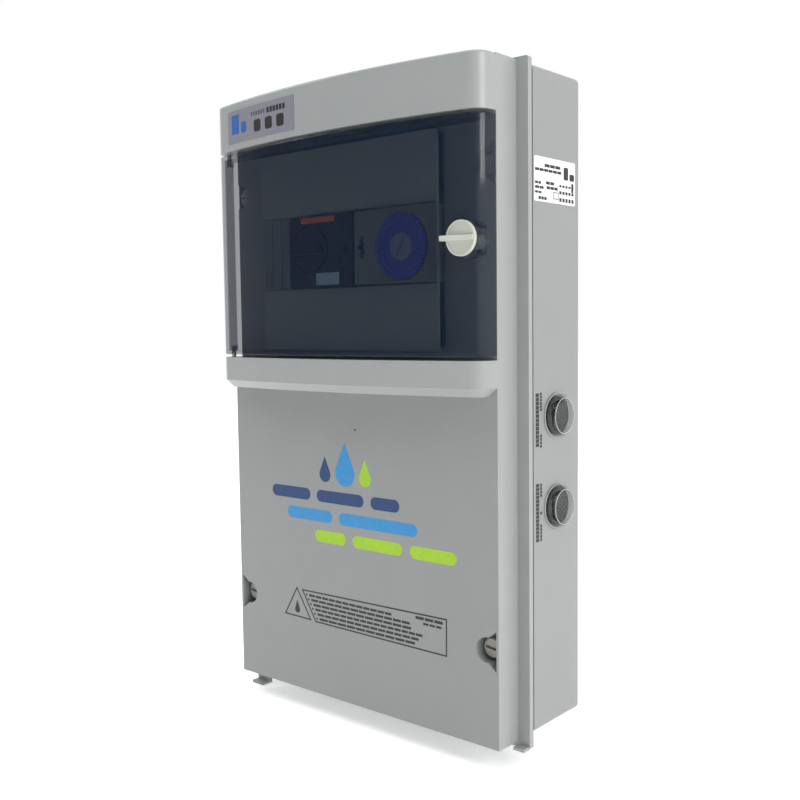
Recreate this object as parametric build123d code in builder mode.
from build123d import *
import math
import os

os.makedirs("parts", exist_ok=True)

# A wall-hung pool control cabinet, in millimetres. The origin is the middle of the four
# wall-fixing holes, on the back face. +X is right as one faces the door, +Z is up, and the
# door faces -Y. A "depth" is the distance in front of the wall, so a depth of 76 is Y = -76.

# Back box
BOX_WIDTH = 240.0
BOX_TOP = 192.1
BOX_BOTTOM = -195.4
BOX_DEPTH = 51.6
BOX_WALL = 3.0
BOX_CORNER = 3.6
BACK_ROUND = 2.6
FIXING_X = 170.0
FIXING_Z = 330.0
FIXING_HOLE_R = 2.75

# Front cover
GAP = 1.0
FLANGE_THICK = 3.8
FLANGE_TOP = 195.7
FLANGE_BOTTOM = -204.0
FLANGE_CORNER = 1.5
COVER_WIDTH = 224.0
COVER_TOP = 194.7
COVER_BOTTOM = -200.4
COVER_WALL = 3.0
PANEL_DEPTH = 76.0
CROWN_DEPTH = 101.0
SHOULDER_DEPTH = 89.2
RAISED_ROUND = 11.0
SILL_BOTTOM = 5.0
SILL_TOP = 25.6
SILL_CHAMFER = 5.0
HEADER_BOTTOM = 163.5
RIM_DEPTH = BOX_DEPTH + GAP
LEDGE_DEPTH = RIM_DEPTH + FLANGE_THICK
HALF_COVER = COVER_WIDTH / 2
LUG_X = (-119.0, -108.0)
LUG_BOTTOM = -215.4
LUG_REACH = 5.6
LUG_THICK = 1.8
DRIP_LIP_X = (112.0, 119.5)
EDGE_CHAMFER = 6.5
EDGE_FILL = 4.5

# Cover screws, one near each corner
SCREW_X = 103.5
SCREW_Z = (-142.3, 135.5)
SCREW_HEAD_R = 6.0
SCREW_HEAD_THICK = 3.6
SCREW_SHANK_R = 2.5
SCREW_SLOT_ANGLE = -6.0
SCREW_SLOT = (9.6, 1.7)
POCKET_R = 7.6
POCKET_FLARE_X = 110.2
POCKET_FLARE_Z = 12.0
POCKET_FLOOR = 67.0
FLARE_FLOOR = 62.0
POCKET_WALL = 1.8
COLUMN_R = 5.0
POST_R = 6.5
POST_CAVITY_R = 5.0
POST_CAP = 3.0
BAYONET = (8.4, 3.0, 2.4)

# Door and its hinge
DOOR_GAP = 1.8
DOOR_WALL = 2.5
DOOR_BACK = PANEL_DEPTH + 0.6
HINGE_X = -108.6
HINGE_DEPTH = 80.8
PIN_R = 1.5
PIN_PLAY = 0.06
PIN_IN_COVER = 5.0
PIN_IN_DOOR = 6.0
DOOR_BOSS_R = 3.0

# Latch
LATCH_X = 101.2
LATCH_Z = 93.3
LATCH_BOSS_R = 10.7
LATCH_FACE = 93.5
LATCH_BOSS_LENGTH = 12.0
LATCH_DISC_R = 10.0
LATCH_DISC_THICK = 2.2
LATCH_FIN = 5.4
LATCH_FIN_THICK = 2.8
LATCH_SHAFT_R = 3.0
LATCH_PLAY = 0.06
CAM_FRONT = 72.3
CAM_THICK = 2.4
CAM_LENGTH = 14.0
CAM_WIDTH = 5.0
KEEPER_SLOT = (7.4, 17.0)

# Device window
RAIL_Z = 93.4
MODULE = 17.5
FASCIA = (149.4, 127.8)
FASCIA_CORNER = 3.0
FASCIA_Z = 94.5
FASCIA_DEPTH = 82.0
OPENING = (150.0, 123.2)
FASCIA_WALL = 1.8
WINDOW = (147.0, 47.0)
BLANK_RIGHT = -46.6

# DIN rail and the devices on it
RAIL_DEPTH = 26.8
RAIL_HEIGHT = 35.0
RAIL_STEP = 7.5
RAIL_SHEET = 1.0
RAIL_LENGTH = 176.0
RAIL_SCREW_X = 80.0
NOSE_DEPTH = 84.8
NOSE_HEIGHT = 45.0
DEVICE_HEIGHT = 84.0
DEVICE_SHOULDER = 65.0
BREAKER_X = (-45.8, -0.8)
AUX_X = (-0.6, 9.6)
TIMER_X = (12.0, 73.25)
KNOB_X = -27.0
KNOB_Z = 94.8
KNOB_R = 14.8
DIAL_X = 49.6
DIAL_Z = 92.3
DIAL_R = 19.6
HUB_R = 8.0

# Side switches, on the right wall
SWITCH_DEPTH = 27.0
SWITCH_Z = {"lights": -8.6, "filtration": -63.1}
SWITCH_TILT = {"lights": 9.0, "filtration": 0.0}
SWITCH_HOLE_R = 10.1
BEZEL_R = 11.6
BEZEL_THICK = 1.6
CAP_R = 12.9
CAP_FLANGE = (13.6, 0.9)
CAP_HEIGHT = 6.4
CAP_CHAMFER = 2.2
CAP_WALL = 0.8
ROCKER_R = 8.5
ROCKER_HALF = 6.4
ROCKER_PIVOT = -1.0

# Cable glands, through the bottom wall
GLAND_X = (-75.0, -35.0, 5.0, 45.0)
GLAND_DEPTH = 26.0
GLAND_THREAD_R = 10.0
GLAND_BORE_R = 4.5

# Lower compartment
TRAFO_X = -45.0
TRAFO_Z = -75.0
TERMINAL_X = 30.0
TERMINAL_Z = -130.0
TERMINALS = 8
TERMINAL_PITCH = 9.0
TERMINAL_TOP = 23.0
TRAFO_CORE = (62.0, 52.0)
TRAFO_STACK = (14.0, 40.0)
TRAFO_FOOT = 8.0
TRAFO_EAR = 39.0
FUSE_X = -55.0
WIRE_R = 1.3

# Labels
LABEL_THICK = 0.25
HEADER_LABEL_X = (-94.6, -22.7)
HEADER_LABEL_Z = (167.8, 188.9)
SIDE_LABEL_PLACE = (-28.3, 128.5)
SIDE_LABEL_SIZE = (44.4, 25.4)

HALF_WALL = BOX_WIDTH / 2
BOX_HEIGHT = BOX_TOP - BOX_BOTTOM
BOX_MIDDLE = (0, (BOX_TOP + BOX_BOTTOM) / 2)
COLUMNS = [(x, z) for x in (-SCREW_X, SCREW_X) for z in SCREW_Z]
SCREW_NAMES = ["lower_left", "upper_left", "lower_right", "upper_right"]


def facing_front(depth):
    """The plane that lies depth in front of the wall and faces forward: local x is X, y is Z."""
    return Plane.XZ.offset(depth)


def save(name, part):
    part.label = name
    export_step(part, f"parts/{name}.step")


def slab(low, high, mode=Mode.ADD):
    """A block between two corners, added to the part that is being built."""
    size = [b - a for a, b in zip(low, high)]
    middle = [(a + b) / 2 for a, b in zip(low, high)]
    with Locations(tuple(middle)):
        Box(*size, mode=mode)


def raised_outline(back_depth, inset=0.0):
    """Plan of the bowed front that header, door and sill share, less an even inset."""
    with BuildSketch() as plan:
        with BuildLine():
            ThreePointArc(
                (-HALF_COVER, -SHOULDER_DEPTH), (0, -CROWN_DEPTH), (HALF_COVER, -SHOULDER_DEPTH)
            )
            Polyline(
                (HALF_COVER, -SHOULDER_DEPTH),
                (HALF_COVER, -back_depth),
                (-HALF_COVER, -back_depth),
                (-HALF_COVER, -SHOULDER_DEPTH),
            )
        make_face()
        corners = [v for v in plan.vertices() if abs(v.Y + SHOULDER_DEPTH) < 0.01]
        fillet(corners, radius=RAISED_ROUND)
        if inset:
            offset(amount=-inset, mode=Mode.REPLACE)
    return plan.sketch


# ---------------------------------------------------------------- enclosure


def make_back_box():
    inner_width = BOX_WIDTH - 2 * BOX_WALL
    inner_height = BOX_HEIGHT - 2 * BOX_WALL
    boss_top = RAIL_DEPTH - RAIL_STEP
    ears = [(TRAFO_X + side * TRAFO_EAR, TRAFO_Z) for side in (-1, 1)]
    with BuildPart() as back_box:
        with BuildSketch(facing_front(0)):
            with Locations(BOX_MIDDLE):
                RectangleRounded(BOX_WIDTH, BOX_HEIGHT, BOX_CORNER)
        extrude(amount=BOX_DEPTH)
        fillet(back_box.edges().group_by(Axis.Y)[-1], radius=BACK_ROUND)
        with BuildSketch(facing_front(BOX_WALL)):
            with Locations(BOX_MIDDLE):
                RectangleRounded(inner_width, inner_height, BOX_CORNER - BOX_WALL)
        extrude(amount=BOX_DEPTH, mode=Mode.SUBTRACT)
        # Hollow corner posts that the cover screws lock into
        with BuildSketch(facing_front(BOX_WALL)):
            with Locations(COLUMNS):
                Circle(POST_R)
        extrude(amount=BOX_DEPTH - BOX_WALL)
        with BuildSketch(facing_front(BOX_DEPTH / 2)):
            with Locations(COLUMNS):
                Circle(POST_CAVITY_R)
        extrude(amount=BOX_DEPTH / 2 - POST_CAP, mode=Mode.SUBTRACT)
        with BuildSketch(facing_front(BOX_DEPTH - POST_CAP)):
            with Locations(COLUMNS):
                Circle(SCREW_SHANK_R + 0.2)
                Rectangle(BAYONET[1] + 0.6, BAYONET[0] + 0.6)
        extrude(amount=POST_CAP, mode=Mode.SUBTRACT)
        # Stand-offs for the rail
        with BuildSketch(facing_front(BOX_WALL)):
            with Locations((-RAIL_SCREW_X, RAIL_Z), (RAIL_SCREW_X, RAIL_Z)):
                Circle(6)
        extrude(amount=boss_top - BOX_WALL)
        with BuildSketch(facing_front(boss_top)):
            with Locations((-RAIL_SCREW_X, RAIL_Z), (RAIL_SCREW_X, RAIL_Z)):
                Circle(1.75)
        extrude(amount=-10, mode=Mode.SUBTRACT)
        # Stand-offs for the transformer
        with BuildSketch(facing_front(BOX_WALL)):
            with Locations(ears):
                Circle(4.5)
        extrude(amount=TRAFO_FOOT - BOX_WALL)
        with BuildSketch(facing_front(TRAFO_FOOT)):
            with Locations(ears):
                Circle(1.65)
        extrude(amount=-6, mode=Mode.SUBTRACT)
        # Wall-fixing holes
        with BuildSketch(facing_front(0)):
            with GridLocations(FIXING_X, FIXING_Z, 2, 2):
                Circle(FIXING_HOLE_R)
        extrude(amount=BOX_WALL, mode=Mode.SUBTRACT)
        # Gland holes in the bottom wall
        with BuildSketch(Plane.XY.offset(BOX_BOTTOM)):
            with Locations([(x, -GLAND_DEPTH) for x in GLAND_X]):
                Circle(GLAND_THREAD_R + 0.2)
        extrude(amount=BOX_WALL, mode=Mode.SUBTRACT)
        # Switch holes in the right wall
        with BuildSketch(Plane.YZ.offset(HALF_WALL - BOX_WALL)):
            with Locations([(-SWITCH_DEPTH, z) for z in SWITCH_Z.values()]):
                Circle(SWITCH_HOLE_R)
        extrude(amount=BOX_WALL, mode=Mode.SUBTRACT)
    save("back_box", back_box.part)


def pocket_outline(side, wall=0.0):
    """Bell-shaped screw pocket, a circle that flares out to the side wall, grown by a wall."""
    flare = side * (POCKET_FLARE_X - SCREW_X)
    outer_edge = POCKET_FLARE_X - SCREW_X + wall
    with BuildSketch() as outline:
        Circle(POCKET_R)
        with BuildLine():
            Polyline(
                (0, POCKET_R - 0.8),
                (flare, POCKET_FLARE_Z),
                (flare, -POCKET_FLARE_Z),
                (0, -POCKET_R + 0.8),
                close=True,
            )
        make_face()
        if wall:
            offset(amount=wall, mode=Mode.REPLACE)
        with Locations((side * (outer_edge - COVER_WIDTH / 2), 0)):
            Rectangle(COVER_WIDTH, COVER_WIDTH, mode=Mode.INTERSECT)
    return outline.sketch


def flare_outline(side, wall=0.0):
    """The part of a screw pocket that lies beyond the screw, which goes deeper."""
    with BuildSketch() as outline:
        add(pocket_outline(side, wall))
        Circle(POCKET_R + 0.8 - wall, mode=Mode.SUBTRACT)
    return outline.sketch


def make_front_cover():
    flange_middle = (FLANGE_TOP + FLANGE_BOTTOM) / 2
    cover_middle = (COVER_TOP + COVER_BOTTOM) / 2
    cover_height = COVER_TOP - COVER_BOTTOM
    outside = raised_outline(PANEL_DEPTH - COVER_WALL)
    inside = raised_outline(PANEL_DEPTH - 2 * COVER_WALL, COVER_WALL)
    cups = [pocket_outline(math.copysign(1, x), POCKET_WALL) for x, z in COLUMNS]
    bells = [pocket_outline(math.copysign(1, x)) for x, z in COLUMNS]
    flare_cups = [flare_outline(math.copysign(1, x), POCKET_WALL) for x, z in COLUMNS]
    flares = [flare_outline(math.copysign(1, x)) for x, z in COLUMNS]
    thick_corner = (COVER_WALL - HALF_COVER, COVER_WALL - PANEL_DEPTH)
    with BuildPart() as front_cover:
        # Sill under the door, with its drip edge
        with BuildSketch(Plane.XY.offset(SILL_BOTTOM)):
            add(outside)
        extrude(amount=SILL_TOP - SILL_BOTTOM)
        drip = front_cover.edges().group_by(Axis.Z)[0].sort_by(Axis.Y)[:-1]
        chamfer(drip, length=SILL_CHAMFER)
        with BuildSketch(Plane.XY.offset(HEADER_BOTTOM)):
            add(outside)
        extrude(amount=COVER_TOP - HEADER_BOTTOM)
        top_edges = front_cover.edges().group_by(Axis.Z)[-1].sort_by(Axis.Y)[:-1]
        fillet(top_edges, radius=1.6)
        # Flat body and the flange round it
        with BuildSketch(facing_front(RIM_DEPTH)):
            with Locations((0, cover_middle)):
                Rectangle(COVER_WIDTH, cover_height)
        extrude(amount=PANEL_DEPTH - RIM_DEPTH)
        with BuildSketch(facing_front(RIM_DEPTH)):
            with Locations((0, flange_middle)):
                RectangleRounded(BOX_WIDTH, FLANGE_TOP - FLANGE_BOTTOM, FLANGE_CORNER)
        extrude(amount=FLANGE_THICK)
        # Hollow body, header and sill
        with BuildSketch(facing_front(RIM_DEPTH)):
            with Locations((0, cover_middle)):
                Rectangle(COVER_WIDTH - 2 * COVER_WALL, cover_height - 2 * COVER_WALL)
        extrude(amount=PANEL_DEPTH - COVER_WALL - RIM_DEPTH, mode=Mode.SUBTRACT)
        with BuildSketch(Plane.XY.offset(HEADER_BOTTOM + COVER_WALL)):
            add(inside)
        extrude(amount=COVER_TOP - HEADER_BOTTOM - 2 * COVER_WALL, mode=Mode.SUBTRACT)
        with BuildSketch(Plane.XY.offset(SILL_BOTTOM + SILL_CHAMFER)):
            add(inside)
        extrude(amount=SILL_TOP - SILL_BOTTOM - SILL_CHAMFER - COVER_WALL, mode=Mode.SUBTRACT)
        # Thicker left corner, which the cut behind the door leaves a full wall of
        slab(
            (thick_corner[0], thick_corner[1], SILL_TOP),
            (thick_corner[0] + EDGE_FILL, thick_corner[1] + EDGE_FILL, HEADER_BOTTOM),
        )
        # Opening behind the device fascia, and the slot that the latch cam drops into
        with BuildSketch(facing_front(PANEL_DEPTH - COVER_WALL)):
            with Locations((0, FASCIA_Z)):
                Rectangle(*OPENING)
            with Locations((LATCH_X, LATCH_Z)):
                Rectangle(*KEEPER_SLOT)
        extrude(amount=COVER_WALL, mode=Mode.SUBTRACT)
        # Screw pockets, with a hollow column behind each
        for place, cup, bell, flare_cup, flare in zip(COLUMNS, cups, bells, flare_cups, flares):
            with BuildSketch(facing_front(FLARE_FLOOR - POCKET_WALL)):
                with Locations(place):
                    add(flare_cup)
            extrude(amount=PANEL_DEPTH - FLARE_FLOOR)
            with BuildSketch(facing_front(POCKET_FLOOR - POCKET_WALL)):
                with Locations(place):
                    add(cup)
            extrude(amount=PANEL_DEPTH - POCKET_FLOOR + POCKET_WALL)
            with BuildSketch(facing_front(POCKET_FLOOR)):
                with Locations(place):
                    add(bell)
            extrude(amount=PANEL_DEPTH - POCKET_FLOOR, mode=Mode.SUBTRACT)
            with BuildSketch(facing_front(FLARE_FLOOR)):
                with Locations(place):
                    add(flare)
            extrude(amount=PANEL_DEPTH - FLARE_FLOOR, mode=Mode.SUBTRACT)
        # The left edge is cut back behind the door, where the hinge swings
        with BuildSketch(Plane.XY.offset(SILL_TOP)):
            with BuildLine():
                Polyline(
                    (-HALF_COVER - 1, -PANEL_DEPTH - 1),
                    (-HALF_COVER + EDGE_CHAMFER + 1, -PANEL_DEPTH - 1),
                    (-HALF_COVER - 1, -PANEL_DEPTH + EDGE_CHAMFER + 1),
                    close=True,
                )
            make_face()
        extrude(amount=HEADER_BOTTOM - SILL_TOP, mode=Mode.SUBTRACT)
        with BuildSketch(facing_front(RIM_DEPTH - 0.5)):
            with Locations(COLUMNS):
                Circle(COLUMN_R)
        extrude(amount=POCKET_FLOOR - RIM_DEPTH + 0.5 - POCKET_WALL / 2)
        with BuildSketch(facing_front(RIM_DEPTH - 0.5)):
            with Locations(COLUMNS):
                Circle(SCREW_SHANK_R + 0.2)
        extrude(amount=PANEL_DEPTH, mode=Mode.SUBTRACT)
        # Bosses that hold the hinge pins
        for low, high in (
            (SILL_TOP - PIN_IN_COVER, SILL_TOP),
            (HEADER_BOTTOM, HEADER_BOTTOM + PIN_IN_COVER),
        ):
            with BuildSketch(Plane.XY.offset(low)):
                with Locations((HINGE_X, -HINGE_DEPTH)):
                    Circle(PIN_R + 1.8)
            extrude(amount=high - low)
            with BuildSketch(Plane.XY.offset(low)):
                with Locations((HINGE_X, -HINGE_DEPTH)):
                    Circle(PIN_R)
            extrude(amount=high - low, mode=Mode.SUBTRACT)
        # Sealing lug below the lower left corner, and the drip lip at the right
        slab((LUG_X[0], -LEDGE_DEPTH, LUG_BOTTOM), (LUG_X[1], -RIM_DEPTH, FLANGE_BOTTOM + 2))
        slab(
            (LUG_X[0], -LEDGE_DEPTH - LUG_REACH, LUG_BOTTOM),
            (LUG_X[1], -LEDGE_DEPTH, LUG_BOTTOM + LUG_THICK),
        )
        slab(
            (DRIP_LIP_X[0], -LEDGE_DEPTH - LUG_REACH, FLANGE_BOTTOM),
            (DRIP_LIP_X[1], -LEDGE_DEPTH, FLANGE_BOTTOM + LUG_THICK),
        )
    save("front_cover", front_cover.part)


def make_cover_gasket():
    with BuildPart() as cover_gasket:
        with BuildSketch(facing_front(BOX_DEPTH)):
            with Locations(BOX_MIDDLE):
                RectangleRounded(BOX_WIDTH - 2, BOX_HEIGHT - 2, BOX_CORNER - 1)
                RectangleRounded(
                    BOX_WIDTH - 5.6, BOX_HEIGHT - 5.6, BOX_CORNER - 2.8, mode=Mode.SUBTRACT
                )
        extrude(amount=GAP)
    save("cover_gasket", cover_gasket.part)


def make_device_fascia():
    back = FASCIA_DEPTH - FASCIA_WALL
    hook_depth = PANEL_DEPTH - COVER_WALL - 2
    clip_z = OPENING[1] / 2 - FASCIA_WALL / 2 - 0.15
    rib_z = (FASCIA[1] - FASCIA_WALL) / 2
    clips = [(x, side) for x in (-50, 50) for side in (-1, 1)]
    with BuildPart() as device_fascia:
        with BuildSketch(facing_front(back)):
            with Locations((0, FASCIA_Z)):
                RectangleRounded(*FASCIA, FASCIA_CORNER)
        extrude(amount=FASCIA_WALL)
        fillet(device_fascia.edges().group_by(Axis.Y)[0], radius=0.6)
        with BuildSketch(facing_front(PANEL_DEPTH)):
            with Locations((0, RAIL_Z)):
                Rectangle(*WINDOW)
        extrude(amount=FASCIA_DEPTH, mode=Mode.SUBTRACT)
        # Ribs along the top and the bottom that rest on the cover
        with BuildSketch(facing_front(PANEL_DEPTH)):
            with Locations([(0, FASCIA_Z + side * rib_z) for side in (-1, 1)]):
                Rectangle(FASCIA[0] - 2 * FASCIA_CORNER, FASCIA_WALL)
        extrude(amount=back - PANEL_DEPTH)
        # Snap clips that reach through the cover's opening
        with BuildSketch(facing_front(hook_depth)):
            with Locations([(x, FASCIA_Z + side * clip_z) for x, side in clips]):
                Rectangle(18, FASCIA_WALL)
        extrude(amount=back - hook_depth)
        with BuildSketch(facing_front(hook_depth)):
            with Locations([(x, FASCIA_Z + side * (clip_z + 0.6)) for x, side in clips]):
                Rectangle(18, FASCIA_WALL)
        extrude(amount=1.8)
    save("device_fascia", device_fascia.part)


def make_blanking_plate():
    left = -WINDOW[0] / 2 + 0.3
    width = BLANK_RIGHT - left
    grooves = int(width / (MODULE / 2))
    with BuildPart() as blanking_plate:
        with BuildSketch(facing_front(FASCIA_DEPTH - FASCIA_WALL)):
            with Locations((left + width / 2, RAIL_Z)):
                Rectangle(width, WINDOW[1] - 0.6)
        extrude(amount=FASCIA_WALL + 0.4)
        fillet(blanking_plate.edges().group_by(Axis.Y)[0], radius=0.4)
        with BuildSketch(facing_front(FASCIA_DEPTH)):
            with Locations([(left + (i + 1) * MODULE / 2, RAIL_Z) for i in range(grooves)]):
                Rectangle(0.6, WINDOW[1])
        extrude(amount=1, mode=Mode.SUBTRACT)
        # Lips that grip the window's edges from behind
        lip_z = WINDOW[1] / 2
        with BuildSketch(facing_front(FASCIA_DEPTH - FASCIA_WALL - 1.6)):
            with Locations([(left + width / 2, RAIL_Z + side * lip_z) for side in (-1, 1)]):
                Rectangle(width - 6, 3)
        extrude(amount=1.5)
        with BuildSketch(facing_front(FASCIA_DEPTH - FASCIA_WALL - 1.6)):
            with Locations([(left + width / 2, RAIL_Z + side * (lip_z - 1.4)) for side in (-1, 1)]):
                Rectangle(width - 6, 1.6)
        extrude(amount=1.8)
    save("blanking_plate", blanking_plate.part)


# ---------------------------------------------------------------- rail and devices


def make_din_rail():
    half = RAIL_HEIGHT / 2
    web = 12.5
    back = RAIL_DEPTH - RAIL_STEP
    with BuildPart() as din_rail:
        with BuildSketch(Plane.YZ.offset(-RAIL_LENGTH / 2)):
            with BuildLine():
                Polyline(
                    (-RAIL_DEPTH, RAIL_Z + half),
                    (-RAIL_DEPTH, RAIL_Z + web),
                    (-back - RAIL_SHEET, RAIL_Z + web),
                    (-back - RAIL_SHEET, RAIL_Z - web),
                    (-RAIL_DEPTH, RAIL_Z - web),
                    (-RAIL_DEPTH, RAIL_Z - half),
                    (-RAIL_DEPTH + RAIL_SHEET, RAIL_Z - half),
                    (-RAIL_DEPTH + RAIL_SHEET, RAIL_Z - web - RAIL_SHEET),
                    (-back, RAIL_Z - web - RAIL_SHEET),
                    (-back, RAIL_Z + web + RAIL_SHEET),
                    (-RAIL_DEPTH + RAIL_SHEET, RAIL_Z + web + RAIL_SHEET),
                    (-RAIL_DEPTH + RAIL_SHEET, RAIL_Z + half),
                    close=True,
                )
            make_face()
        extrude(amount=RAIL_LENGTH)
        with BuildSketch(facing_front(back)):
            with Locations([(x, RAIL_Z) for x in range(-60, 61, 24)]):
                SlotOverall(15, 6.2)
            with Locations([(x, RAIL_Z) for x in (-RAIL_SCREW_X, RAIL_SCREW_X)]):
                Circle(2.2)
        extrude(amount=RAIL_SHEET, mode=Mode.SUBTRACT)
    save("din_rail", din_rail.part)


def make_rail_screws():
    seat = RAIL_DEPTH - RAIL_STEP + RAIL_SHEET
    places = [(x, RAIL_Z) for x in (-RAIL_SCREW_X, RAIL_SCREW_X)]
    with BuildPart() as rail_screws:
        with BuildSketch(facing_front(seat)):
            with Locations(places):
                Circle(3.8)
        extrude(amount=2.6)
        fillet(rail_screws.edges().group_by(Axis.Y)[0], radius=1.0)
        with BuildSketch(facing_front(seat + 1.2)):
            with Locations(places):
                Rectangle(4.4, 1.0)
                Rectangle(1.0, 4.4)
        extrude(amount=2, mode=Mode.SUBTRACT)
        with BuildSketch(facing_front(seat)):
            with Locations(places):
                Circle(1.7)
        extrude(amount=-8)
    save("rail_screws", rail_screws.part)


def device_side():
    """Side view of a rail-mounted device, local x along Y and y along Z."""
    half = DEVICE_HEIGHT / 2
    nose = NOSE_HEIGHT / 2
    lip = RAIL_HEIGHT / 2
    seat = RAIL_DEPTH + 0.1
    hook = RAIL_DEPTH - RAIL_SHEET - 0.2
    foot = RAIL_DEPTH - 5
    with BuildSketch() as side:
        with BuildLine():
            Polyline(
                (-DEVICE_SHOULDER, half),
                (-foot, half),
                (-foot, lip + 3),
                (-foot - 2, lip - 1),
                (-hook, lip - 1),
                (-hook, lip + 0.3),
                (-seat, lip + 0.3),
                (-seat, -lip - 0.3),
                (-hook, -lip - 0.3),
                (-hook, -lip + 1),
                (-foot - 2, -lip + 1),
                (-foot, -lip - 3),
                (-foot, -half),
                (-DEVICE_SHOULDER, -half),
                (-DEVICE_SHOULDER, -nose),
                (-NOSE_DEPTH, -nose),
                (-NOSE_DEPTH, nose),
                (-DEVICE_SHOULDER, nose),
                close=True,
            )
        make_face()
        front = [v for v in side.vertices() if v.X < -NOSE_DEPTH + 0.1]
        fillet(front, radius=1.0)
    return side.sketch


def terminal_places(span):
    """Where the clamp screws sit, one above and one below in each module."""
    modules = max(1, round((span[1] - span[0]) / MODULE))
    pitch = (span[1] - span[0]) / modules
    across = [span[0] + pitch * (i + 0.5) for i in range(modules)]
    rise = (DEVICE_HEIGHT + NOSE_HEIGHT) / 4
    return [(x, RAIL_Z + side * rise) for x in across for side in (-1, 1)]


def make_breaker():
    side = device_side()
    width = BREAKER_X[1] - BREAKER_X[0]
    strip_place = (-19.6, RAIL_Z + NOSE_HEIGHT / 2 - 2.8)
    strip_size = (30.0, 3.6)
    label_size = (20.0, 7.6)
    label_place = (-11.6, RAIL_Z - 17.6)
    with BuildPart() as breaker_body:
        with BuildSketch(Plane.YZ.offset(BREAKER_X[0])):
            with Locations((0, RAIL_Z)):
                add(side)
        extrude(amount=width)
        with BuildSketch(facing_front(DEVICE_SHOULDER - 12)):
            with Locations(terminal_places(BREAKER_X)):
                Circle(3.2)
        extrude(amount=13, mode=Mode.SUBTRACT)
        # Well for the rotary setting, recess for the strip and for the label
        with BuildSketch(facing_front(NOSE_DEPTH - 3)):
            with Locations((KNOB_X, KNOB_Z)):
                Circle(KNOB_R + 0.8)
        extrude(amount=4, mode=Mode.SUBTRACT)
        with BuildSketch(facing_front(NOSE_DEPTH - 22)):
            with Locations((KNOB_X, KNOB_Z)):
                Circle(3 + PIN_PLAY)
        extrude(amount=20, mode=Mode.SUBTRACT)
        with BuildSketch(facing_front(NOSE_DEPTH - 1)):
            with Locations(strip_place):
                Rectangle(*strip_size)
            with Locations(label_place):
                Rectangle(*label_size)
        extrude(amount=2, mode=Mode.SUBTRACT)
    save("breaker_body", breaker_body.part)
    with BuildPart() as breaker_knob:
        with BuildSketch(facing_front(NOSE_DEPTH - 2.6)):
            with Locations((KNOB_X, KNOB_Z)):
                Circle(KNOB_R)
        extrude(amount=3.4)
        fillet(breaker_knob.edges().group_by(Axis.Y)[0], radius=0.8)
        with BuildSketch(facing_front(NOSE_DEPTH)):
            with Locations((KNOB_X, KNOB_Z)):
                SlotOverall(2 * KNOB_R - 3, 6.5)
        extrude(amount=5)
        with BuildSketch(facing_front(NOSE_DEPTH - 20)):
            with Locations((KNOB_X, KNOB_Z)):
                Circle(3)
        extrude(amount=18)
    save("breaker_knob", breaker_knob.part)
    with BuildPart() as breaker_strip:
        with BuildSketch(facing_front(NOSE_DEPTH - 1)):
            with Locations(strip_place):
                Rectangle(*strip_size)
        extrude(amount=1.3)
    save("breaker_strip", breaker_strip.part)
    with BuildPart() as breaker_label:
        with BuildSketch(facing_front(NOSE_DEPTH - 1)):
            with Locations(label_place):
                Rectangle(*label_size)
        extrude(amount=1.2)
    save("breaker_label", breaker_label.part)


def make_aux_contact():
    """Narrow auxiliary contact block that is clipped to the breaker's right side."""
    side = device_side()
    middle = (AUX_X[0] + AUX_X[1]) / 2
    with BuildPart() as aux_contact:
        with BuildSketch(Plane.YZ.offset(AUX_X[0])):
            with Locations((0, RAIL_Z)):
                add(side)
        extrude(amount=AUX_X[1] - AUX_X[0])
        with BuildSketch(facing_front(DEVICE_SHOULDER - 12)):
            with Locations([(middle, z) for x, z in terminal_places(AUX_X)]):
                Circle(2.6)
        extrude(amount=13, mode=Mode.SUBTRACT)
        with BuildSketch(facing_front(NOSE_DEPTH - 4)):
            with Locations((middle, RAIL_Z)):
                Circle(2.6)
        extrude(amount=5, mode=Mode.SUBTRACT)
        with BuildSketch(facing_front(NOSE_DEPTH - 0.8)):
            with Locations([(middle, RAIL_Z + rise) for rise in (-15, 15)]):
                Rectangle(6, 9)
        extrude(amount=2, mode=Mode.SUBTRACT)
    save("aux_contact", aux_contact.part)


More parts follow.
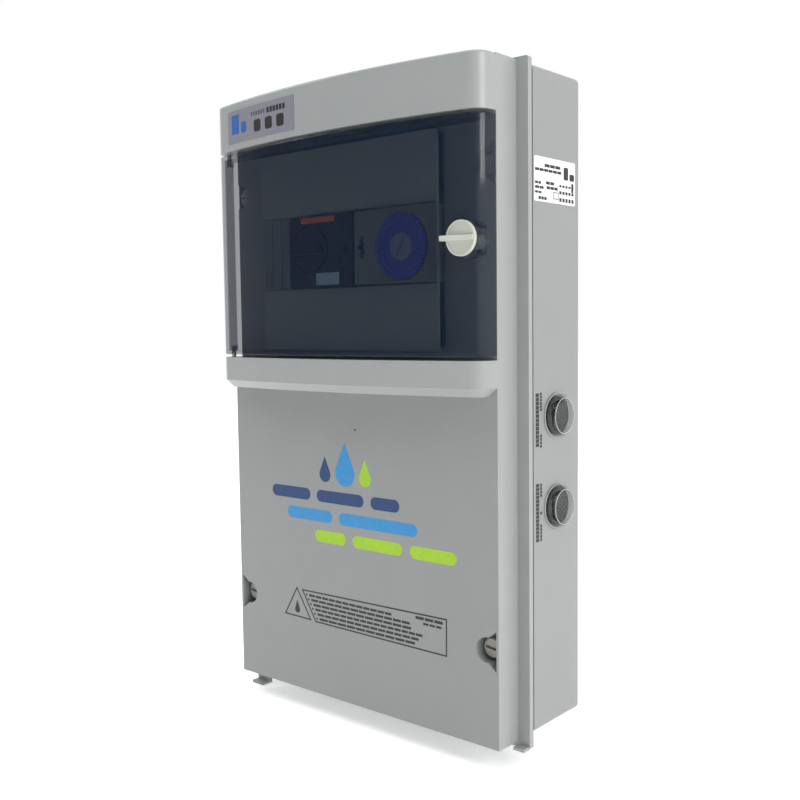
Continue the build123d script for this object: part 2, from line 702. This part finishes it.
def make_timer():
    side = device_side()
    width = TIMER_X[1] - TIMER_X[0]
    tappets = 48
    well = 6.0
    slider_x = TIMER_X[0] + 6.0
    slider_travel = 3.0
    with BuildPart() as timer_body:
        with BuildSketch(Plane.YZ.offset(TIMER_X[0])):
            with Locations((0, RAIL_Z)):
                add(side)
        extrude(amount=width)
        # Raised rim round the face
        with BuildSketch(facing_front(NOSE_DEPTH)):
            with Locations(((TIMER_X[0] + TIMER_X[1]) / 2, RAIL_Z)):
                Rectangle(width - 3, NOSE_HEIGHT - 1.6)
                Rectangle(width - 4.8, NOSE_HEIGHT - 3.4, mode=Mode.SUBTRACT)
        extrude(amount=0.8)
        with BuildSketch(facing_front(DEVICE_SHOULDER - 12)):
            with Locations(terminal_places(TIMER_X)):
                Circle(3.2)
        extrude(amount=13, mode=Mode.SUBTRACT)
        with BuildSketch(facing_front(NOSE_DEPTH - well)):
            with Locations((DIAL_X, DIAL_Z)):
                Circle(DIAL_R + 0.6)
            with Locations((slider_x, RAIL_Z)):
                Rectangle(3.4, 8 + 2 * slider_travel)
        extrude(amount=well + 1, mode=Mode.SUBTRACT)
        with BuildSketch(facing_front(NOSE_DEPTH - well - 14)):
            with Locations((DIAL_X, DIAL_Z)):
                Circle(2.5 + PIN_PLAY)
        extrude(amount=15, mode=Mode.SUBTRACT)
    save("timer_body", timer_body.part)
    with BuildPart() as timer_dial:
        with BuildSketch(facing_front(NOSE_DEPTH - well + 0.5)):
            with Locations((DIAL_X, DIAL_Z)):
                Circle(DIAL_R - 2.4)
        extrude(amount=well - 0.1)
        with BuildSketch(facing_front(NOSE_DEPTH - 1.2)):
            with Locations((DIAL_X, DIAL_Z)):
                Circle(DIAL_R - 5.0)
                Circle(HUB_R + 0.05, mode=Mode.SUBTRACT)
        extrude(amount=2, mode=Mode.SUBTRACT)
        with BuildSketch(facing_front(NOSE_DEPTH - 1.2)):
            with Locations((DIAL_X, DIAL_Z)):
                Circle(HUB_R + 0.05)
        extrude(amount=3, mode=Mode.SUBTRACT)
        with BuildSketch(facing_front(NOSE_DEPTH - well + 0.5)):
            with Locations((DIAL_X, DIAL_Z)):
                Circle(2.5)
        extrude(amount=-13.5)
    save("timer_dial", timer_dial.part)
    with BuildPart() as timer_tappets:
        with BuildSketch(facing_front(NOSE_DEPTH - well + 0.5)):
            with Locations((DIAL_X, DIAL_Z)):
                with PolarLocations(DIAL_R - 1.15, tappets):
                    Rectangle(2.3, 1.6)
        extrude(amount=well + 0.7)
    save("timer_tappets", timer_tappets.part)
    with BuildPart() as timer_hub:
        with BuildSketch(facing_front(NOSE_DEPTH - 1.2)):
            with Locations((DIAL_X, DIAL_Z)):
                Circle(HUB_R)
        extrude(amount=2.8)
        fillet(timer_hub.edges().group_by(Axis.Y)[0], radius=0.8)
        with BuildSketch(facing_front(NOSE_DEPTH)):
            with Locations((DIAL_X, DIAL_Z)):
                SlotOverall(2 * HUB_R - 3, 2.4, rotation=60)
        extrude(amount=4, mode=Mode.SUBTRACT)
        with BuildSketch(facing_front(NOSE_DEPTH)):
            with Locations((DIAL_X, DIAL_Z)):
                SlotOverall(2 * HUB_R - 4, 1.6, rotation=60)
        extrude(amount=2.2)
    save("timer_hub", timer_hub.part)
    with BuildPart() as timer_slider:
        with BuildSketch(facing_front(NOSE_DEPTH - well + 0.3)):
            with Locations((slider_x, RAIL_Z)):
                Rectangle(2.8, 8)
        extrude(amount=well - 1)
        with BuildSketch(facing_front(NOSE_DEPTH - 0.7)):
            with Locations((slider_x, RAIL_Z)):
                Rectangle(2.8, 3)
        extrude(amount=2.2)
    save("timer_slider", timer_slider.part)


# ---------------------------------------------------------------- door and latch


def make_smoked_door():
    low = SILL_TOP + DOOR_GAP
    high = HEADER_BOTTOM - DOOR_GAP
    outside = raised_outline(DOOR_BACK)
    inside = raised_outline(PANEL_DEPTH - 2 * COVER_WALL, DOOR_WALL)
    with BuildPart() as smoked_door:
        with BuildSketch(Plane.XY.offset(low)):
            add(outside)
        extrude(amount=high - low)
        rims = smoked_door.edges().group_by(Axis.Z)
        fillet(rims[0].sort_by(Axis.Y)[:-1] + rims[-1].sort_by(Axis.Y)[:-1], radius=0.8)
        with BuildSketch(Plane.XY.offset(low + DOOR_WALL)):
            add(inside)
        extrude(amount=high - low - 2 * DOOR_WALL, mode=Mode.SUBTRACT)
        # Boss with a flat face that the latch turns on
        with BuildSketch(facing_front(LATCH_FACE - LATCH_BOSS_LENGTH)):
            with Locations((LATCH_X, LATCH_Z)):
                Circle(LATCH_BOSS_R)
        extrude(amount=LATCH_BOSS_LENGTH)
        with BuildSketch(facing_front(PANEL_DEPTH)):
            with Locations((LATCH_X, LATCH_Z)):
                Circle(LATCH_SHAFT_R + LATCH_PLAY)
        extrude(amount=CROWN_DEPTH - PANEL_DEPTH, mode=Mode.SUBTRACT)
        # Eyes that the hinge pins run in
        for z in (low, high - PIN_IN_DOOR):
            with BuildSketch(Plane.XY.offset(z)):
                with Locations((HINGE_X, -HINGE_DEPTH)):
                    Circle(DOOR_BOSS_R)
            extrude(amount=PIN_IN_DOOR)
            with BuildSketch(Plane.XY.offset(z)):
                with Locations((HINGE_X, -HINGE_DEPTH)):
                    Circle(PIN_R + PIN_PLAY)
            extrude(amount=PIN_IN_DOOR, mode=Mode.SUBTRACT)
    save("smoked_door", smoked_door.part)


def make_hinge_pins():
    lengths = PIN_IN_COVER + DOOR_GAP + PIN_IN_DOOR
    with BuildPart() as hinge_pins:
        for low in (SILL_TOP - PIN_IN_COVER, HEADER_BOTTOM - DOOR_GAP - PIN_IN_DOOR):
            with BuildSketch(Plane.XY.offset(low)):
                with Locations((HINGE_X, -HINGE_DEPTH)):
                    Circle(PIN_R)
            extrude(amount=lengths)
    save("hinge_pins", hinge_pins.part)


def make_latch():
    disc_back = LATCH_FACE + 0.2
    disc_front = disc_back + LATCH_DISC_THICK
    fin_tip = LATCH_X - LATCH_DISC_R - 0.6
    with BuildPart() as latch_knob:
        with BuildSketch(facing_front(disc_back)):
            with Locations((LATCH_X, LATCH_Z)):
                Circle(LATCH_DISC_R)
        extrude(amount=LATCH_DISC_THICK)
        fillet(latch_knob.edges().group_by(Axis.Y)[0], radius=0.5)
        with BuildSketch(facing_front(disc_front - 0.4)):
            with Locations((LATCH_X, LATCH_Z)):
                Circle(LATCH_DISC_R - 1.4)
        extrude(amount=1, mode=Mode.SUBTRACT)
        # Finger lever that rises from the disc's right edge to its left
        with BuildSketch(Plane.XY.offset(LATCH_Z - LATCH_FIN_THICK / 2)):
            with BuildLine():
                Polyline(
                    (LATCH_X + LATCH_DISC_R - 0.8, -disc_front + 0.8),
                    (LATCH_X + LATCH_DISC_R - 0.8, -disc_front - 0.8),
                    (fin_tip + 2, -disc_front - LATCH_FIN),
                    (fin_tip, -disc_front - LATCH_FIN),
                    (fin_tip, -disc_front - LATCH_FIN + 2.6),
                    (LATCH_X - LATCH_DISC_R + 1, -disc_front + 0.8),
                    close=True,
                )
            make_face()
            fillet([v for v in vertices() if v.Y < -disc_front - 2], radius=0.8)
        extrude(amount=LATCH_FIN_THICK)
        with BuildSketch(facing_front(CAM_FRONT)):
            with Locations((LATCH_X, LATCH_Z)):
                Circle(LATCH_SHAFT_R)
        extrude(amount=disc_back - CAM_FRONT + 1)
    save("latch_knob", latch_knob.part)
    with BuildPart() as latch_cam:
        with BuildSketch(facing_front(CAM_FRONT - CAM_THICK)):
            with Locations((LATCH_X, LATCH_Z)):
                SlotOverall(CAM_LENGTH, CAM_WIDTH, rotation=90)
                Circle(1.25, mode=Mode.SUBTRACT)
        extrude(amount=CAM_THICK)
    save("latch_cam", latch_cam.part)
    with BuildPart() as latch_screw:
        with BuildSketch(facing_front(CAM_FRONT - CAM_THICK - 1.6)):
            with Locations((LATCH_X, LATCH_Z)):
                Circle(2.2)
        extrude(amount=1.6)
        with BuildSketch(facing_front(CAM_FRONT - CAM_THICK)):
            with Locations((LATCH_X, LATCH_Z)):
                Circle(1.25)
        extrude(amount=CAM_THICK)
    save("latch_screw", latch_screw.part)


def make_cover_screws():
    bayonet_depth = BOX_DEPTH - POST_CAP - 0.4 - BAYONET[2]
    head_top = POCKET_FLOOR + 0.2 + SCREW_HEAD_THICK
    for name, place in zip(SCREW_NAMES, COLUMNS):
        with BuildPart() as cover_screw:
            with BuildSketch(facing_front(POCKET_FLOOR + 0.2)):
                with Locations(place):
                    Circle(SCREW_HEAD_R)
            extrude(amount=SCREW_HEAD_THICK)
            chamfer(cover_screw.edges().group_by(Axis.Y)[0], length=0.7)
            with BuildSketch(facing_front(head_top - 1.6)):
                with Locations(place):
                    SlotOverall(*SCREW_SLOT, rotation=SCREW_SLOT_ANGLE)
            extrude(amount=2, mode=Mode.SUBTRACT)
            with BuildSketch(facing_front(bayonet_depth)):
                with Locations(place):
                    Circle(SCREW_SHANK_R)
            extrude(amount=POCKET_FLOOR + 0.4 - bayonet_depth)
            with BuildSketch(facing_front(bayonet_depth)):
                with Locations(place):
                    Rectangle(BAYONET[0], BAYONET[1])
            extrude(amount=BAYONET[2])
        save(f"cover_screw_{name}", cover_screw.part)


# ---------------------------------------------------------------- side switches


def make_side_switch(name):
    z = SWITCH_Z[name]
    wall_out = HALF_WALL
    wall_in = HALF_WALL - BOX_WALL
    place = (-SWITCH_DEPTH, z)
    with BuildPart() as body:
        with BuildSketch(Plane.YZ.offset(wall_out)):
            with Locations(place):
                Circle(BEZEL_R)
        extrude(amount=BEZEL_THICK)
        fillet(body.edges().group_by(Axis.X)[-1], radius=0.6)
        with BuildSketch(Plane.YZ.offset(wall_in - 16)):
            with Locations(place):
                Circle(SWITCH_HOLE_R - 0.25)
        extrude(amount=16 + BOX_WALL)
        with BuildSketch(Plane.YZ.offset(wall_out - 12)):
            with Locations(place):
                Circle(ROCKER_R + 0.6)
                Rectangle(2 * ROCKER_HALF + 0.6, 2 * BEZEL_R, mode=Mode.INTERSECT)
        extrude(amount=16, mode=Mode.SUBTRACT)
        # Trunnions that the rocker pivots on
        with Locations((wall_out + ROCKER_PIVOT, -SWITCH_DEPTH, z)):
            Cylinder(1.2, 2 * ROCKER_R + 1.4, rotation=(90, 0, 0))
    save(f"{name}_switch_body", body.part)
    with BuildPart() as rocker:
        with BuildSketch(Plane.YZ.offset(wall_out - 7)):
            with Locations(place):
                Circle(ROCKER_R)
        extrude(amount=15)
        with BuildSketch(facing_front(SWITCH_DEPTH - ROCKER_HALF)):
            with BuildLine():
                ThreePointArc(
                    (wall_out + 3.6, z - ROCKER_R),
                    (wall_out + 2.5, z),
                    (wall_out + 3.6, z + ROCKER_R),
                )
                Polyline(
                    (wall_out + 3.6, z + ROCKER_R),
                    (wall_out + 1.0, z + ROCKER_R),
                    (wall_out - 6.5, z + 3.5),
                    (wall_out - 6.5, z - 3.5),
                    (wall_out + 1.0, z - ROCKER_R),
                    (wall_out + 3.6, z - ROCKER_R),
                )
            make_face()
        extrude(amount=2 * ROCKER_HALF, mode=Mode.INTERSECT)
        with Locations((wall_out + ROCKER_PIVOT, -SWITCH_DEPTH, z)):
            Cylinder(1.26, 2 * ROCKER_R + 2, rotation=(90, 0, 0), mode=Mode.SUBTRACT)
    pivot = Axis((wall_out + ROCKER_PIVOT, -SWITCH_DEPTH, z), (0, 1, 0))
    save(f"{name}_rocker", rocker.part.rotate(pivot, SWITCH_TILT[name]))
    # Clear cap that stands on the wall round the bezel
    with BuildPart() as cap:
        with BuildSketch(Plane.YZ.offset(wall_out)):
            with Locations(place):
                Circle(CAP_R)
        extrude(amount=CAP_HEIGHT)
        chamfer(cap.edges().group_by(Axis.X)[-1], length=CAP_CHAMFER)
        with BuildSketch(Plane.YZ.offset(wall_out)):
            with Locations(place):
                Circle(CAP_FLANGE[0])
        extrude(amount=CAP_FLANGE[1])
        with BuildSketch(Plane.YZ.offset(wall_out)):
            with Locations(place):
                Circle(CAP_R - CAP_WALL)
        extrude(amount=CAP_HEIGHT - CAP_CHAMFER - CAP_WALL, mode=Mode.SUBTRACT)
        with BuildSketch(Plane.YZ.offset(wall_out)):
            with Locations(place):
                Circle(CAP_R - CAP_CHAMFER - CAP_WALL / 2)
        extrude(amount=CAP_HEIGHT - CAP_WALL, mode=Mode.SUBTRACT)
    save(f"{name}_switch_cap", cap.part)
    with BuildPart() as nut:
        with BuildSketch(Plane.YZ.offset(wall_in)):
            with Locations(place):
                RegularPolygon(SWITCH_HOLE_R + 3.4, 6)
                Circle(SWITCH_HOLE_R - 0.25, mode=Mode.SUBTRACT)
        extrude(amount=-3.5)
    save(f"{name}_switch_nut", nut.part)
    with BuildPart() as tabs:
        with BuildSketch(Plane.YZ.offset(wall_in - 16)):
            with Locations([(-SWITCH_DEPTH + y, z + dz) for y in (-3.5, 3.5) for dz in (-6, 0, 6)]):
                Rectangle(0.8, 4.8)
        extrude(amount=-8)
    save(f"{name}_switch_tabs", tabs.part)


# ---------------------------------------------------------------- glands


def make_glands():
    floor = BOX_BOTTOM
    places = [(x, -GLAND_DEPTH) for x in GLAND_X]
    flange = 12.0
    with BuildPart() as gland_bodies:
        with BuildSketch(Plane.XY.offset(floor - 4.5)):
            with Locations(places):
                RegularPolygon(flange, 6, major_radius=False)
        extrude(amount=4.5)
        with BuildSketch(Plane.XY.offset(floor)):
            with Locations(places):
                Circle(GLAND_THREAD_R)
        extrude(amount=BOX_WALL + 7)
        with BuildSketch(Plane.XY.offset(floor - 4.5)):
            with Locations(places):
                Circle(GLAND_THREAD_R - 0.8)
        extrude(amount=-5)
        with BuildSketch(Plane.XY.offset(floor - 10)):
            with Locations(places):
                Circle(7.4)
        extrude(amount=30, mode=Mode.SUBTRACT)
    save("gland_bodies", gland_bodies.part)
    with BuildPart() as gland_seals:
        with BuildSketch(Plane.XY.offset(floor - 13)):
            with Locations(places):
                Circle(7.3)
                Circle(GLAND_BORE_R, mode=Mode.SUBTRACT)
        extrude(amount=12)
    save("gland_seals", gland_seals.part)
    with BuildPart() as gland_nuts:
        with BuildSketch(Plane.XY.offset(floor - 14)):
            with Locations(places):
                RegularPolygon(flange - 0.4, 6, major_radius=False)
        extrude(amount=9)
        with BuildSketch(Plane.XY.offset(floor - 18)):
            with Locations(places):
                Circle(9.5)
        extrude(amount=4, taper=-8)
        with BuildSketch(Plane.XY.offset(floor - 13)):
            with Locations(places):
                Circle(GLAND_THREAD_R - 0.75)
        extrude(amount=9, mode=Mode.SUBTRACT)
        with BuildSketch(Plane.XY.offset(floor - 19)):
            with Locations(places):
                Circle(6.2)
        extrude(amount=8, mode=Mode.SUBTRACT)
    save("gland_nuts", gland_nuts.part)
    with BuildPart() as gland_locknuts:
        with BuildSketch(Plane.XY.offset(floor + BOX_WALL)):
            with Locations(places):
                RegularPolygon(13.0, 6, major_radius=False)
                Circle(GLAND_THREAD_R, mode=Mode.SUBTRACT)
        extrude(amount=4)
    save("gland_locknuts", gland_locknuts.part)


# ---------------------------------------------------------------- lower compartment


def make_transformer():
    limb = (TRAFO_STACK[0] + TRAFO_STACK[1]) / 2
    stack = TRAFO_STACK[1] - TRAFO_STACK[0]
    half_width = TRAFO_CORE[0] / 2
    windows = [(TRAFO_X + side * 15, TRAFO_Z) for side in (-1, 1)]
    straps = [(TRAFO_X, TRAFO_Z + side * 21) for side in (-1, 1)]
    screws = [(TRAFO_X + side * TRAFO_EAR, TRAFO_Z) for side in (-1, 1)]
    foot_top = TRAFO_FOOT + 1.5
    with BuildPart() as transformer_core:
        with BuildSketch(facing_front(TRAFO_STACK[0])):
            with Locations((TRAFO_X, TRAFO_Z)):
                Rectangle(*TRAFO_CORE)
            with Locations(windows):
                Rectangle(12, 30, mode=Mode.SUBTRACT)
        extrude(amount=stack)
    save("transformer_core", transformer_core.part)
    with BuildPart() as transformer_winding:
        with Locations((TRAFO_X, -limb, TRAFO_Z)):
            Box(41.2, stack + 17.6, 29.2)
        fillet(transformer_winding.edges().filter_by(Axis.Z), radius=5)
        with Locations((TRAFO_X, -limb, TRAFO_Z)):
            Box(18.4, stack + 0.4, 30, mode=Mode.SUBTRACT)
    save("transformer_winding", transformer_winding.part)
    with BuildPart() as transformer_frame:
        for side in (-1, 1):
            plate = sorted(TRAFO_X + side * (half_width + gap) for gap in (0.1, 1.6))
            foot = sorted(TRAFO_X + side * reach for reach in (half_width + 0.1, 44))
            slab(
                (plate[0], -TRAFO_STACK[1] - 1.6, TRAFO_Z - 25),
                (plate[1], -TRAFO_FOOT, TRAFO_Z + 25),
            )
            slab((foot[0], -foot_top, TRAFO_Z - 9), (foot[1], -TRAFO_FOOT, TRAFO_Z + 9))
        with BuildSketch(facing_front(TRAFO_STACK[1] + 0.1)):
            with Locations(straps):
                Rectangle(TRAFO_CORE[0] + 3, 8)
        extrude(amount=1.5)
        with BuildSketch(facing_front(TRAFO_FOOT)):
            with Locations(screws):
                Circle(2.2)
        extrude(amount=1.5, mode=Mode.SUBTRACT)
    save("transformer_frame", transformer_frame.part)
    with BuildPart() as transformer_screws:
        with BuildSketch(facing_front(foot_top)):
            with Locations(screws):
                Circle(3.6)
        extrude(amount=2.4)
        fillet(transformer_screws.edges().group_by(Axis.Y)[0], radius=1.0)
        with BuildSketch(facing_front(foot_top)):
            with Locations(screws):
                Circle(1.6)
        extrude(amount=-5)
    save("transformer_screws", transformer_screws.part)


def make_terminals():
    width = TERMINALS * TERMINAL_PITCH + 12
    across = [TERMINAL_X + (i - (TERMINALS - 1) / 2) * TERMINAL_PITCH for i in range(TERMINALS)]
    rows = [(x, TERMINAL_Z + dz) for x in across for dz in (-6, 6)]
    with BuildPart() as terminal_block:
        with BuildSketch(facing_front(BOX_WALL)):
            with Locations((TERMINAL_X, TERMINAL_Z)):
                Rectangle(width, 22)
        extrude(amount=TERMINAL_TOP - BOX_WALL)
        with BuildSketch(facing_front(TERMINAL_TOP - 6)):
            with Locations(rows):
                Circle(2.4)
        extrude(amount=7, mode=Mode.SUBTRACT)
        with BuildSketch(facing_front(TERMINAL_TOP - 4)):
            with Locations([(x + TERMINAL_PITCH / 2, TERMINAL_Z) for x in across[:-1]]):
                Rectangle(1.2, 23)
        extrude(amount=5, mode=Mode.SUBTRACT)
    save("terminal_block", terminal_block.part)
    with BuildPart() as terminal_screws:
        with BuildSketch(facing_front(TERMINAL_TOP - 6)):
            with Locations(rows):
                Circle(2.2)
        extrude(amount=3)
        with BuildSketch(facing_front(TERMINAL_TOP - 4)):
            with Locations(rows):
                Rectangle(5, 0.7, rotation=20)
        extrude(amount=2, mode=Mode.SUBTRACT)
    save("terminal_screws", terminal_screws.part)


def make_fuse():
    cradle = (36.0, 12.0)
    with BuildPart() as fuse_holder:
        with BuildSketch(facing_front(BOX_WALL)):
            with Locations((FUSE_X, TERMINAL_Z)):
                Rectangle(*cradle)
        extrude(amount=12)
        with Locations((FUSE_X, -BOX_WALL - 12, TERMINAL_Z)):
            Cylinder(2.8, 20.6, rotation=(0, 90, 0), mode=Mode.SUBTRACT)
    save("fuse_holder", fuse_holder.part)
    with BuildPart() as fuse:
        with Locations((FUSE_X, -BOX_WALL - 12, TERMINAL_Z)):
            Cylinder(2.6, 20, rotation=(0, 90, 0))
    save("fuse", fuse.part)


def make_wires():
    top = TERMINAL_Z + 11
    step = TERMINAL_PITCH
    first = TERMINAL_X - (TERMINALS - 1) / 2 * step
    under = RAIL_Z - DEVICE_HEIGHT / 2
    device_depth = 44.0
    routes = []
    device_ends = [(-36.0, 0.0), (-18.5, 9.0), (31.0, 31.0), (48.5, 48.5)]
    for i, (x, bend_x) in enumerate(device_ends):
        start = first + i * step
        routes.append(
            [
                (start, -13, top),
                (start, -13, top + 22),
                (bend_x, -device_depth - 4, -22 - 6 * i),
                (x, -device_depth, under - 24),
                (x, -device_depth, under),
            ]
        )
    tabs_x = HALF_WALL - BOX_WALL - 24
    for i, z in enumerate(SWITCH_Z.values()):
        start = first + (7 - i) * step
        tab_y = -SWITCH_DEPTH - 3.5
        routes.append(
            [
                (start, -13, top),
                (start, -13, top + 16),
                (tabs_x - 14 - 9 * (1 - i), tab_y, z - 18),
                (tabs_x - 12, tab_y, z),
                (tabs_x, tab_y, z),
            ]
        )
    with BuildPart() as wires:
        for route in routes:
            with BuildLine() as path:
                FilletPolyline(*route, radius=6.0)
            with BuildSketch(Plane(origin=path.line @ 0, z_dir=path.line % 0)):
                Circle(WIRE_R)
            sweep(path=path.line)
    save("wires", wires.part)


# ---------------------------------------------------------------- labels


def make_labels():
    skin = raised_outline(PANEL_DEPTH, -LABEL_THICK)
    bare = raised_outline(PANEL_DEPTH)
    low, high = HEADER_LABEL_Z
    with BuildPart() as header_label:
        with BuildSketch(Plane.XY.offset(low)):
            add(skin)
            add(bare, mode=Mode.SUBTRACT)
        extrude(amount=high - low)
        slab(
            (HEADER_LABEL_X[0], -CROWN_DEPTH - 1, low),
            (HEADER_LABEL_X[1], -PANEL_DEPTH, high),
            mode=Mode.INTERSECT,
        )
    save("header_label", header_label.part)
    with BuildPart() as side_label:
        with BuildSketch(Plane.YZ.offset(HALF_WALL)):
            with Locations(SIDE_LABEL_PLACE):
                RectangleRounded(*SIDE_LABEL_SIZE, 0.8)
        extrude(amount=LABEL_THICK)
    save("side_label", side_label.part)


make_back_box()
make_front_cover()
make_cover_gasket()
make_device_fascia()
make_blanking_plate()
make_din_rail()
make_rail_screws()
make_breaker()
make_aux_contact()
make_timer()
make_smoked_door()
make_hinge_pins()
make_latch()
make_cover_screws()
for switch in SWITCH_Z:
    make_side_switch(switch)
make_glands()
make_transformer()
make_terminals()
make_fuse()
make_wires()
make_labels()
